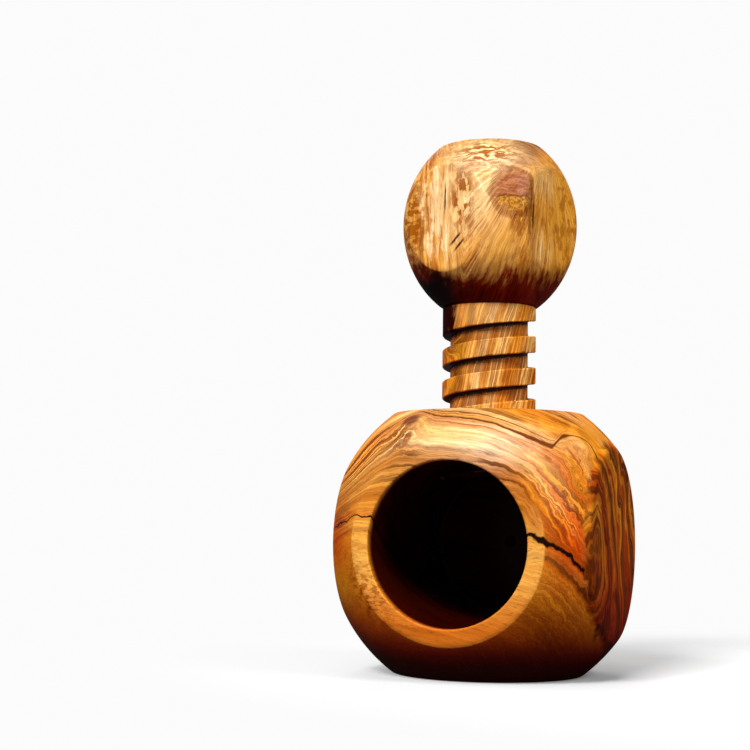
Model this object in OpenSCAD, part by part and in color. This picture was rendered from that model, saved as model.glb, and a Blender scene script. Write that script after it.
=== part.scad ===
// Wooden screw nutcracker: a round block with a nut chamber, and a threaded
// spindle with a knob that presses down on the nut.
// The origin is at the centre of the base, +Z is up, and the chamber opens towards -Y.

/* [Block] */
// Diameter of the ball that the block is cut from
ball_d = 84; // [80:1:88]
// Distance between opposite flats of the block
block_flats = 68; // [66:1:70]

/* [Nut chamber] */
// Diameter of the nut chamber
chamber_d = 41.2; // [38:0.2:43]
// Width of the broken edge round the chamber's mouth
rim_break = 0.7; // [0.3:0.1:1.2]

/* [Thread] */
// Outer diameter of the wooden screw
screw_d = 24.8; // [22:0.2:26]
// Lift for one whole turn of the screw
pitch = 8.4; // [7.6:0.1:9]
// Depth of the square groove
groove_depth = 2.1; // [1.6:0.1:2.4]
// Width of the square groove
groove_w = 3.95; // [3.4:0.05:4.3]
// Play of the thread across the screw, on each side
play_radial = 0.3; // [0.25:0.05:0.4]
// Play of the thread along the screw, on each side
play_axial = 0.25; // [0.2:0.05:0.3]

/* [Screw] */
// Length of screw that shows between the block and the knob
screw_bare = 28.4; // [26:0.1:30]
// Length of screw below the block's top face
screw_sunk = 17; // [15:0.5:18]
// Length of plain collar that the groove leaves under the knob
collar_h = 4.2; // [3.8:0.1:5]

/* [Knob] */
// Diameter of the knob
knob_d = 46.4; // [44:0.2:50]
// Half of the height that the knob's egg shape would have, uncut
knob_half_h = 26.1; // [25:0.1:28]
// Height of the flat top above the knob's widest ring
knob_crown = 21.2; // [20:0.1:22]
// Distance between opposite side flats of the knob
knob_flats = 39.4; // [38:0.2:42]
// Angle that the knob's flats are turned through at rest
knob_turn = -18; // [-45:1:45]

/* [Joining dowel] */
// Diameter of the dowel that joins the screw to the knob
dowel_d = 10; // [8:0.5:11]
// Depth of the dowel in the screw
dowel_in_screw = 16; // [12:1:20]
// Depth of the dowel in the knob
dowel_in_knob = 20; // [15:1:24]
// Gap for glue round the dowel
glue_gap = 0.05; // [0.03:0.01:0.08]

/* [Hidden] */

ball_r = ball_d / 2;
flat_r = block_flats / 2;
chamber_r = chamber_d / 2;
wall = flat_r - chamber_r;
chamber_depth = block_flats - wall;
centre_mark_r = 1.6;
centre_mark_depth = 1.4;

screw_r = screw_d / 2;
root_r = screw_r - groove_depth;
screw_top = block_flats + screw_bare;
screw_tip = block_flats - screw_sunk;
tip_chamfer = 1.2;
mouth_chamfer = 2.4;

// Height of one winding of the groove's centre line where it crosses the +X side
groove_z0 = block_flats + 5.66;
steps_a_turn = 36;
run_out = 30;

knob_r = knob_d / 2;
knob_foot = knob_half_h * sqrt(1 - pow((screw_r + 0.3) / knob_r, 2));
knob_z = screw_top + knob_foot;
knob_rings = 36;

dowel_r = dowel_d / 2;
end_gap = 1;
overshoot = 1;
round_fn = 128;

// Angle at which the groove's centre line is at height z, counted from groove_z0
function groove_angle(z) = (z - groove_z0) / pitch * 360;

// Four corners of a groove's section at angle a, from radius r_in to r_out
function section(a, z0, r_in, r_out, w) =
    let (z = z0 + pitch * a / 360)
    [
        [r_in * cos(a), r_in * sin(a), z - w / 2],
        [r_out * cos(a), r_out * sin(a), z - w / 2],
        [r_out * cos(a), r_out * sin(a), z + w / 2],
        [r_in * cos(a), r_in * sin(a), z + w / 2]
    ];

// Inner radius of the screw's groove, which comes up to the surface over run_out at its top end
function groove_floor(a, a_end) =
    root_r + (groove_depth + 0.4) * max(0, 1 - (a_end - a) / run_out);

// A square bar wound round the Z axis, through a list of four-cornered sections
module wound_bar(sections) {
    last = len(sections) - 1;
    sides = [for (i = [0 : last - 1], k = [0 : 3])
        let (a = 4 * i + k, b = 4 * i + (k + 1) % 4)
        each [[a, b, b + 4], [a, b + 4, a + 4]]];
    ends = [[0, 2, 1], [0, 3, 2],
            [4 * last, 4 * last + 1, 4 * last + 2], [4 * last, 4 * last + 2, 4 * last + 3]];
    polyhedron([for (s = sections, p = s) p], concat(sides, ends), convexity = 8);
}

// The groove as it is cut into the screw
module screw_groove() {
    a_end = groove_angle(screw_top - collar_h);
    a_start = groove_angle(screw_tip - groove_w);
    count = ceil((a_end - a_start) / 360 * steps_a_turn);
    wound_bar([for (i = [0 : count])
        let (a = a_start + (a_end - a_start) * i / count)
        section(a, groove_z0, groove_floor(a, a_end), screw_r + overshoot, groove_w)]);
}

// The groove as it is cut into the block, where the screw's ridge runs
module block_groove() {
    z0 = groove_z0 + pitch / 2;
    w = pitch - groove_w + 2 * play_axial;
    a_start = (block_flats - wall - groove_w - 4 - z0) / pitch * 360;
    a_end = (block_flats + w - z0) / pitch * 360;
    count = ceil((a_end - a_start) / 360 * steps_a_turn);
    wound_bar([for (i = [0 : count])
        let (a = a_start + (a_end - a_start) * i / count)
        section(a, z0, root_r - overshoot, screw_r + play_radial, w)]);
}

// The nut chamber, bored from the front face, with a broken edge and the bit's centre mark
module chamber_bore() {
    translate([0, -flat_r, flat_r]) rotate([-90, 0, 0]) {
        translate([0, 0, -overshoot])
            cylinder(h = chamber_depth + overshoot, r = chamber_r, $fn = round_fn);
        translate([0, 0, -0.01])
            cylinder(h = rim_break, r1 = chamber_r + rim_break, r2 = chamber_r, $fn = round_fn);
        translate([0, 0, chamber_depth - 0.01])
            cylinder(h = centre_mark_depth, r1 = centre_mark_r, r2 = 0.2, $fn = 32);
    }
}

module block() {
    color("#c08a45")
    difference() {
        intersection() {
            translate([0, 0, flat_r]) sphere(r = ball_r, $fn = round_fn);
            translate([-flat_r, -flat_r, 0]) cube(block_flats);
        }
        chamber_bore();
        translate([0, 0, flat_r])
            cylinder(h = flat_r + overshoot, r = root_r + play_radial, $fn = round_fn);
        translate([0, 0, block_flats - mouth_chamfer])
            cylinder(h = mouth_chamfer + 0.01, r1 = root_r + play_radial,
                     r2 = screw_r + play_radial + 0.5, $fn = round_fn);
        block_groove();
    }
}

module screw() {
    color("#d09a4c")
    difference() {
        union() {
            translate([0, 0, screw_tip])
                cylinder(h = tip_chamfer, r1 = screw_r - tip_chamfer, r2 = screw_r, $fn = round_fn);
            translate([0, 0, screw_tip + tip_chamfer])
                cylinder(h = screw_top - screw_tip - tip_chamfer, r = screw_r, $fn = round_fn);
        }
        screw_groove();
        translate([0, 0, screw_top - dowel_in_screw - end_gap])
            cylinder(h = dowel_in_screw + end_gap + overshoot, r = dowel_r + glue_gap, $fn = 64);
    }
}

// Radius of the knob's egg shape at height z from its widest ring
function egg_r(z) = knob_r * sqrt(1 - pow(z / knob_half_h, 2));

module knob() {
    bottom = asin(-knob_foot / knob_half_h);
    top = asin(knob_crown / knob_half_h);
    rim = [for (i = [0 : knob_rings])
        let (z = knob_half_h * sin(bottom + (top - bottom) * i / knob_rings)) [egg_r(z), z]];
    color("#8a5428")
    difference() {
        intersection() {
            translate([0, 0, knob_z])
                rotate_extrude($fn = round_fn)
                    polygon(concat([[0, -knob_foot]], rim, [[0, knob_crown]]));
            rotate([0, 0, knob_turn])
                translate([-knob_flats / 2, -knob_flats / 2, screw_top - overshoot])
                    cube([knob_flats, knob_flats, knob_foot + knob_crown + 2 * overshoot]);
        }
        translate([0, 0, screw_top - overshoot])
            cylinder(h = dowel_in_knob + end_gap + overshoot, r = dowel_r + glue_gap, $fn = 64);
    }
}

module joining_dowel() {
    color("#e0c08a")
    translate([0, 0, screw_top - dowel_in_screw])
        cylinder(h = dowel_in_screw + dowel_in_knob, r = dowel_r, $fn = 64);
}

block();
screw();
knob();
joining_dowel();
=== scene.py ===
import math

import bmesh
import bpy
import numpy as np
from bpy.props import FloatProperty, FloatVectorProperty, PointerProperty
from mathutils import Matrix, Vector


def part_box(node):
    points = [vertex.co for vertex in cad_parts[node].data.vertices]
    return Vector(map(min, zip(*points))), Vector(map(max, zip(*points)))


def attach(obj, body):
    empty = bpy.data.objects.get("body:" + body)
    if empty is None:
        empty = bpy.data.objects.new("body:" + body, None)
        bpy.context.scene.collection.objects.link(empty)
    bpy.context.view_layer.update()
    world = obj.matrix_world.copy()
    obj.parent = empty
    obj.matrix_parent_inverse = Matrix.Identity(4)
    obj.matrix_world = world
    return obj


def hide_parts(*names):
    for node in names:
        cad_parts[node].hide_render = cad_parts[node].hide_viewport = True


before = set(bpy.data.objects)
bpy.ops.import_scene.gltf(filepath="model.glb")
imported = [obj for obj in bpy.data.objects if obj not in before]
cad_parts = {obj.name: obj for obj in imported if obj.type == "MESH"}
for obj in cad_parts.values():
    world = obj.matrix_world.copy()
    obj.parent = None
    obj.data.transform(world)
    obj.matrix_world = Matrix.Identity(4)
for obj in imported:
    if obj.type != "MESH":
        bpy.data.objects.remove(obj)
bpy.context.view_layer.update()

bl_info = {
    "name": "Olive Wood Screw Nutcracker",
    "version": (1, 0, 0),
    "blender": (4, 5, 0),
    "location": "3D View > Sidebar > Nutcracker",
    "description": "Builds an olive wood nutcracker: a block with a nut chamber, a wooden screw and a knob",
    "category": "Add Mesh",
}

MM = 0.001
DEG = math.pi / 180


# ---------------------------------------------------------------- sizes and colours

def node_span(node, axis):
    """Length of a frame node's box along one axis."""
    low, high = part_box(node)
    return high[axis] - low[axis]


def linear(hex_colour):
    """An sRGB hex colour such as #D98F2B as linear red, green, blue and alpha."""
    parts = [int(hex_colour[i:i + 2], 16) / 255 for i in (1, 3, 5)]
    return [p / 12.92 if p <= 0.04045 else ((p + 0.055) / 1.055) ** 2.4 for p in parts] + [1.0]


def length(name, description, default):
    """A size for the panel."""
    return FloatProperty(name=name, description=description, default=default, unit="LENGTH")


def shade(name, description, hex_colour):
    """A wood colour for the panel."""
    return FloatVectorProperty(name=name, description=description, default=linear(hex_colour),
                               subtype="COLOR", size=4, min=0.0, max=1.0)


class BlockSizes(bpy.types.PropertyGroup):
    """Sizes of the block"""
    ball: length("Ball", "Diameter of the ball the block is cut from", 84 * MM)
    flats: length("Flats", "Distance between opposite flats", node_span("block", 2))
    chamber: length("Chamber", "Diameter of the nut chamber", 41.2 * MM)
    rim: length("Rim", "Width of the broken edge round the chamber's mouth", 0.6 * MM)
    softness: length("Softness", "Depth by which sanding has rounded the flats' edges", 0.45 * MM)


class ScrewSizes(bpy.types.PropertyGroup):
    """Sizes of the screw"""
    diameter: length("Diameter", "Outer diameter of the wooden screw", node_span("screw", 0))
    pitch: length("Pitch", "Lift for one whole turn", 8.4 * MM)
    groove_depth: length("Groove depth", "Depth of the square groove", 2.1 * MM)
    groove_width: length("Groove width", "Width of the square groove", 3.95 * MM)
    groove_start: length("Groove start", "Height above the block of one winding at +X", 5.66 * MM)
    collar: length("Collar", "Plain length between the groove's end and the knob", 4.2 * MM)
    play: length("Play", "Gap between the screw and the block, on each side", 0.3 * MM)
    wear: length("Wear", "Rounding that use has left on the thread's crests", 0.35 * MM)


class KnobSizes(bpy.types.PropertyGroup):
    """Sizes of the knob"""
    diameter: length("Diameter", "Diameter of the knob's widest ring", 46.4 * MM)
    half_height: length("Half height", "Half height of the whole egg shape", 26.1 * MM)
    crown: length("Crown", "Height of the flat top above the widest ring", 21.2 * MM)
    flats: length("Flats", "Distance between opposite side flats", 39.4 * MM)
    turn: FloatProperty(name="Turn", description="Angle of the side flats at rest",
                        default=-18 * DEG, subtype="ANGLE")
    softness: length("Softness", "Depth by which sanding has rounded the flats' edges", 0.35 * MM)


class DowelSizes(bpy.types.PropertyGroup):
    """Sizes of the joining dowel and of the glue gap round it"""
    diameter: length("Diameter", "Diameter of the joining dowel", node_span("joining_dowel", 0))
    glue_gap: length("Glue gap", "Gap for glue round the dowel", 0.05 * MM)
    end_gap: length("End gap", "Gap for glue at the dowel's ends", 1.0 * MM)


class WoodColours(bpy.types.PropertyGroup):
    """Colours of the olive wood, from its palest sapwood to its blackest vein"""
    cream: shade("Cream", "Palest sapwood", "#ECCE8E")
    straw: shade("Straw", "Pale sapwood", "#E6B868")
    honey: shade("Honey", "Warm sapwood", "#E2A84C")
    gold: shade("Gold", "Yellow heartwood", "#DE9628")
    amber: shade("Amber", "Deep yellow heartwood", "#CC8018")
    orange: shade("Orange", "Orange heartwood", "#CE6C10")
    tan: shade("Tan", "Pinkish brown wood", "#DCA264")
    ochre: shade("Ochre", "Olive brown wood", "#B47C18")
    brown: shade("Brown", "Thin brown lines", "#8E4A1A")
    umber: shade("Umber", "Dark brown veins", "#521E06")
    black: shade("Black", "Blackest veins", "#170501")
    beech: shade("Beech", "The joining dowel", "#D9B48A")


# ---------------------------------------------------------------- mesh tools

FACES = {
    "+X": ((0, 1, 0), (0, 0, 1), (1, 0, 0)),
    "-X": ((0, 0, 1), (0, 1, 0), (-1, 0, 0)),
    "+Y": ((0, 0, 1), (1, 0, 0), (0, 1, 0)),
    "-Y": ((1, 0, 0), (0, 0, 1), (0, -1, 0)),
    "+Z": ((1, 0, 0), (0, 1, 0), (0, 0, 1)),
    "-Z": ((0, 1, 0), (1, 0, 0), (0, 0, -1)),
}
COLUMNS = 192


def grid_quads(rows, columns, first):
    """Quads over a grid of rows by columns whose last column joins its first, counted from vertex first."""
    r, c = np.mgrid[0:rows - 1, 0:columns]
    here = r * columns + c
    beside = r * columns + (c + 1) % columns
    return first + np.stack([here, beside, beside + columns, here + columns], -1).reshape(-1, 4)


def mesh_from_grids(name, grids):
    """One mesh from closed grids of shape (rows, columns, 3), welded where they meet, faces outwards."""
    points, quads, first = [], [], 0
    for grid in grids:
        rows, columns = grid.shape[:2]
        quads.append(grid_quads(rows, columns, first))
        points.append(grid.reshape(-1, 3))
        first += rows * columns
    mesh = bpy.data.meshes.new(name)
    mesh.from_pydata(np.concatenate(points), [], np.concatenate(quads))
    work = bmesh.new()
    work.from_mesh(mesh)
    bmesh.ops.remove_doubles(work, verts=work.verts, dist=0.002 * MM)
    bmesh.ops.recalc_face_normals(work, faces=work.faces)
    work.to_mesh(mesh)
    work.free()
    return mesh


def add_object(name, mesh):
    """A new object at the origin that shows the mesh."""
    obj = bpy.data.objects.new(name, mesh)
    bpy.context.scene.collection.objects.link(obj)
    return obj


def cut_away(obj, tool_mesh):
    """Cuts the tool's solid out of the object and keeps the result as the object's mesh."""
    tool = add_object("tool", tool_mesh)
    modifier = obj.modifiers.new("cut", "BOOLEAN")
    modifier.operation = "DIFFERENCE"
    modifier.solver = "EXACT"
    modifier.object = tool
    graph = bpy.context.evaluated_depsgraph_get()
    result = bpy.data.meshes.new_from_object(obj.evaluated_get(graph))
    obj.modifiers.clear()
    obj.data = result
    bpy.data.objects.remove(tool)
    work = bmesh.new()
    work.from_mesh(result)
    bmesh.ops.remove_doubles(work, verts=work.verts, dist=0.001 * MM)
    bmesh.ops.holes_fill(work, edges=[edge for edge in work.edges if edge.is_boundary], sides=6)
    work.to_mesh(result)
    work.free()


def finish_piece(obj, angle, body, nodes):
    """Shades a piece smooth up to an angle, ties it to its body, and hides its nodes."""
    obj.data.shade_smooth()
    obj.data.set_sharp_from_angle(angle=angle)
    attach(obj, body)
    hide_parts(*nodes)


def soft_min(a, b, k):
    """The lesser of a and b, rounded off over a span k where they are close."""
    h = np.maximum(k - np.abs(a - b), 0) / k
    return np.minimum(a, b) - h * h * k / 4


def cut_ball(way, radius, heights, softness):
    """Points of a ball cut by flats, its edges rounded off. way is a unit direction, and the distance along
    it is the least of the radius and of each flat's height over the cosine of its tilt."""
    reach = np.full(way.shape[:-1], radius)
    for face, height in heights.items():
        tilt_cos = np.maximum(way @ np.array(FACES[face][2], float), 1e-3)
        reach = soft_min(reach, height / tilt_cos, softness)
    return way * reach[..., None]


def face_directions(face, tilt, turn):
    """Unit directions tilted from a face's axis by tilt and turned about it by turn."""
    u, v, n = (np.array(axis, float) for axis in FACES[face])
    across = np.cos(turn)[..., None] * u + np.sin(turn)[..., None] * v
    return np.cos(tilt)[..., None] * n + np.sin(tilt)[..., None] * across


def face_patch(face, radius, heights, softness, inner=0.0):
    """The part of a cut ball nearest to one flat. Columns run round it. Rows run out from the tilt inner
    over the flat, over its rounded edge in close steps, and over the ball up to the next patches."""
    turn = np.arange(COLUMNS) / COLUMNS * 2 * np.pi
    edge = math.acos(heights[face] / radius)
    spread = 2.6 * softness / (radius * math.tan(edge))
    boundary = np.arctan(1 / np.maximum(np.abs(np.cos(turn)), np.abs(np.sin(turn))))
    on_flat = np.arctan(np.linspace(math.tan(inner), math.tan(edge - spread), 10))[:-1]
    on_edge = np.linspace(edge - spread, edge + spread, 9)
    fixed = np.concatenate([on_flat, on_edge])[:, None] * np.ones(COLUMNS)
    share = np.linspace(0, 1, 12)[1:, None]
    on_ball = (edge + spread) * (1 - share) + boundary * share
    tilt = np.concatenate([fixed, on_ball])
    way = face_directions(face, tilt, turn * np.ones_like(tilt))
    return cut_ball(way, radius, heights, softness)


def bored_grid(face, profile):
    """A surface of revolution about a face's axis. profile lists (radius, height along the axis) pairs."""
    u, v, n = (np.array(axis, float) for axis in FACES[face])
    turn = np.arange(COLUMNS) / COLUMNS * 2 * np.pi
    across = np.cos(turn)[:, None] * u + np.sin(turn)[:, None] * v
    radii, heights = np.array(profile, float).T
    return radii[:, None, None] * across + heights[:, None, None] * n


def arc(centre, radius, start, end, count):
    """Points on a circle in the profile plane, from angle start to end in degrees."""
    angles = np.radians(np.linspace(start, end, count))
    return [(centre[0] + radius * math.cos(a), centre[1] + radius * math.sin(a)) for a in angles]


def straight(start, end, count):
    """Evenly spaced points of the profile from start to end, without the first."""
    share = np.linspace(0, 1, count + 1)[1:, None]
    return [tuple(p) for p in np.array(start) * (1 - share) + np.array(end) * share]


def wound_grid(radius, height, angles, rise, lift):
    """A closed section wound round the Z axis: the section's corners at each angle have a radius and a
    height, arrays of (angles, corners), and each is lifted by lift plus rise times the angle. The two end
    rows close on a middle point."""
    turn = angles[:, None] * np.ones_like(radius)
    grid = np.stack([radius * np.cos(turn), radius * np.sin(turn), height + lift + rise * turn], -1)
    first = np.broadcast_to(grid[0].mean(0), grid[0].shape)
    last = np.broadcast_to(grid[-1].mean(0), grid[-1].shape)
    return np.concatenate([first[None], grid, last[None]])


# ---------------------------------------------------------------- finishes

def add(tree, kind, inputs=(), output=0, stops=(), **settings):
    """Adds a node with its settings and links, and returns one of its outputs. inputs are values or sockets
    in the node's own order, or a dict by name or number. stops are a ramp's (place, colour) pairs."""
    node = tree.nodes.new("ShaderNode" + kind)
    for name, value in settings.items():
        setattr(node, name, value)
    for place, colour in stops[2:]:
        node.color_ramp.elements.new(place)
    for number, (place, colour) in enumerate(stops):
        element = node.color_ramp.elements[number]
        element.position, element.color = place, colour
    for key, value in inputs.items() if isinstance(inputs, dict) else enumerate(inputs):
        if isinstance(value, bpy.types.NodeSocket):
            tree.links.new(value, node.inputs[key])
        else:
            node.inputs[key].default_value = value
    return node.outputs[output] if node.outputs else None


def calc(tree, operation, *inputs):
    """One step of arithmetic on numbers."""
    return add(tree, "Math", inputs, operation=operation)


def vector(tree, operation, *inputs):
    """One step of arithmetic on vectors."""
    return add(tree, "VectorMath", inputs, operation=operation)


def dot(tree, place, way):
    """How far a place lies along a direction."""
    return add(tree, "VectorMath", [place, way], "Value", operation="DOT_PRODUCT")


def height_of(tree, place):
    """The height of a place."""
    return add(tree, "SeparateXYZ", [place], "Z")


def ramp(tree, value, start, end, low=0.0, high=1.0):
    """Carries a value smoothly from low at start to high at end, and holds it there beyond them."""
    return add(tree, "MapRange", [value, start, end, low, high], interpolation_type="SMOOTHSTEP")


def between(tree, share, low, high):
    """Carries a share evenly from low where it is 0 to high where it is 1."""
    return add(tree, "MapRange", [share, 0.0, 1.0, low, high])


def swells(tree, place, lengths, detail, roughness):
    """Smooth noise about 0.5 whose swells are lengths mm long."""
    scaled = vector(tree, "DIVIDE", place, lengths)
    return add(tree, "TexNoise", {"Vector": scaled, "Scale": 1.0, "Detail": detail, "Roughness": roughness})


def layer_noise(tree, growth, per_mm, offset, detail, roughness):
    """Noise that changes only from one growth layer to the next."""
    level = calc(tree, "MULTIPLY_ADD", growth, per_mm, offset)
    return add(tree, "TexNoise", {"W": level, "Scale": 1.0, "Detail": detail, "Roughness": roughness},
               noise_dimensions="1D")


def new_material(name):
    """An empty node material and its tree."""
    material = bpy.data.materials.new(name)
    material.use_nodes = True
    material.node_tree.nodes.clear()
    return material, material.node_tree


def place_in_mm(tree):
    """The point on the piece in millimetres, as a vector and as its three coordinates."""
    point = add(tree, "TexCoord", output="Object")
    place = add(tree, "VectorMath", {0: point, "Scale": 1 / MM}, operation="SCALE")
    return place, *(add(tree, "SeparateXYZ", [place], axis) for axis in "XYZ")


def disturbed(tree, place, *drifts):
    """The place shifted by smooth random drifts, each of up to amount mm, with swells lengths mm long."""
    moved = place
    for lengths, amount, detail in drifts:
        scaled = vector(tree, "DIVIDE", place, lengths)
        noise = add(tree, "TexNoise", {"Vector": scaled, "Scale": 1.0, "Detail": detail}, "Color")
        centred = vector(tree, "SUBTRACT", noise, (0.5, 0.5, 0.5))
        moved = vector(tree, "MULTIPLY_ADD", centred, (2 * amount,) * 3, moved)
    return moved


def distance(tree, place, centre, size):
    """Distance from a centre, counted in the given size along each axis."""
    away = vector(tree, "DIVIDE", vector(tree, "SUBTRACT", place, centre), size)
    return add(tree, "VectorMath", [away], "Value", operation="LENGTH")


def hill(tree, place, centre, size, height=1.0):
    """A round hill: height at its centre, falling off as a bell curve, to a third at the given size."""
    away = distance(tree, place, centre, size)
    bell = calc(tree, "POWER", math.exp(-1), calc(tree, "MULTIPLY", away, away))
    return calc(tree, "MULTIPLY", bell, height)


def streaks(tree, place, lengths, low, high, detail=3.0):
    """Fine marks drawn out along the fibres: noise whose grains are lengths mm, its contrast spread so that
    low becomes 0 and high becomes 1."""
    return ramp(tree, swells(tree, place, lengths, detail, 0.6), low, high)


def layer_lines(tree, growth, per_mm, width, offset):
    """Thin lines between growth layers, at uneven distances: 1 on a line and 0 away from it."""
    middle = calc(tree, "SUBTRACT", layer_noise(tree, growth, per_mm, offset, 3.0, 0.65), 0.5)
    return ramp(tree, calc(tree, "ABSOLUTE", middle), 0.0, width, 1.0, 0.0)


def bands(tree, growth, per_mm, offset, low, high):
    """Broad bands along the growth layers, at uneven distances, whose edges are soft: 0 to 1."""
    return ramp(tree, layer_noise(tree, growth, per_mm, offset, 2.0, 0.6), low, high)


def vein(tree, growth, level, half_width):
    """A vein along one growth layer: 1 inside its half width in mm and 0 outside."""
    away = calc(tree, "ABSOLUTE", calc(tree, "SUBTRACT", growth, level))
    return ramp(tree, calc(tree, "DIVIDE", away, half_width), 0.45, 1.1, 1.0, 0.0)


def stain(tree, colour, tint, strength, *masks, mode="MULTIPLY"):
    """The colour multiplied by a tint: by strength where every mask is 1, and not at all where one is 0.
    Both colours are sockets, four numbers or hex strings."""
    colour, tint = (linear(c) if isinstance(c, str) else c for c in (colour, tint))
    for mask in masks:
        strength = calc(tree, "MULTIPLY", mask, strength)
    return add(tree, "Mix", {0: strength, 6: colour, 7: tint}, 2, data_type="RGBA", blend_type=mode)


def blend(tree, colour, tint, strength, *masks):
    """The same with a tint that covers the colour instead of multiplying it."""
    return stain(tree, colour, tint, strength, *masks, mode="MIX")


def layer_colours(tree, growth, layers, tints):
    """The colour of each growth layer, from a list of (level in mm, name of a wood colour)."""
    low, high = layers[0][0], layers[-1][0]
    share = add(tree, "MapRange", [growth, float(low), float(high)])
    stops = [((level - low) / (high - low), getattr(tints, name)) for level, name in layers]
    return add(tree, "ValToRGB", [share], stops=stops)


class Wood:
    """A wood in the making: its material, its tree, a point's place on the piece in mm, and its colour so
    far. The functions that make a wood add the fields that they share, such as the growth layers."""

    def __init__(self, name):
        self.material, self.tree = new_material(name)
        self.place, self.across, self.depth, self.height = place_in_mm(self.tree)

    def hill(self, centre, size, height=1.0):
        return hill(self.tree, self.place, centre, size, height)

    def stain(self, tint, strength, *masks):
        self.colour = stain(self.tree, self.colour, tint, strength, *masks)

    def blend(self, tint, strength, *masks):
        self.colour = blend(self.tree, self.colour, tint, strength, *masks)


def oiled_surface(wood, along, across, growth, fibre_tint, pore_tint, shine):
    """The finish that the turned pieces share, and the material's output. Fibres and pores follow the
    growth layers: real pores are 0.1 mm wide and are drawn twice as wide, so that they show. The oil is a
    thin hard film with a soft shine over wood that is matt itself, and sanding has left slight ribs between
    fibres. The film covers a small share of the wood, the shine, and bends light more than real oil does,
    so that sides seen at a slant keep their depth of colour and lamps still draw a soft highlight."""
    tree = wood.tree
    line = add(tree, "CombineXYZ", [along, across, growth])
    fibres = streaks(tree, line, (10.0, 0.6, 0.45), 0.34, 0.66)
    broad = streaks(tree, line, (26.0, 2.6, 1.9), 0.35, 0.65, 2.0)
    pores = streaks(tree, line, (2.2, 0.26, 0.22), 0.60, 0.72, 1.0)
    wood.stain(fibre_tint, 0.28, broad)
    wood.stain(fibre_tint, 0.34, fibres)
    wood.stain(pore_tint, 0.5, pores)
    rough = between(tree, fibres, 0.42, 0.52)
    height = calc(tree, "MULTIPLY_ADD", pores, -0.7, fibres)
    bump = add(tree, "Bump", {"Height": height, "Strength": 0.3, "Distance": 0.06 * MM})
    surface = add(tree, "BsdfPrincipled", {
        "Base Color": wood.colour, "Roughness": rough, "Normal": bump, "Specular IOR Level": 0.0,
        "IOR": 1.46, "Coat Weight": shine, "Coat Roughness": 0.18, "Coat IOR": 1.9})
    add(tree, "OutputMaterial", {"Surface": surface})


# swellings of the block's growth layers: centre, size and height in mm
BLOCK_HILLS = [
    ((-34, -22, 52), (16, 20, 11), 14.0),
    ((-12.5, -25.4, 65), (4, 6, 3), -3.0),
    ((-10.5, -28, 63), (3.5, 7, 4.5), -5.5),
    ((30.5, -17, 60), (5, 7.5, 5), -7.0),
]
# the colours of its growth layers: level in mm, and name
BLOCK_LAYERS = [
    (-20, "orange"), (-4, "amber"), (2, "amber"), (7.5, "gold"), (9.4, "amber"), (10.0, "brown"),
    (10.6, "gold"), (12.5, "honey"), (13.6, "gold"), (15.6, "orange"), (18.0, "gold"), (21.0, "amber"),
    (24.0, "gold"), (27.0, "honey"), (29.5, "amber"), (32.4, "honey"), (33.0, "brown"), (33.6, "cream"),
    (37.0, "straw"), (39.5, "straw"), (43.6, "tan"), (46.6, "honey"), (48.0, "cream"), (50.5, "honey"),
    (53.5, "gold"), (57.0, "gold"), (62.0, "tan"), (70.0, "gold"), (80.0, "honey"), (96.0, "amber"),
]


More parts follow.
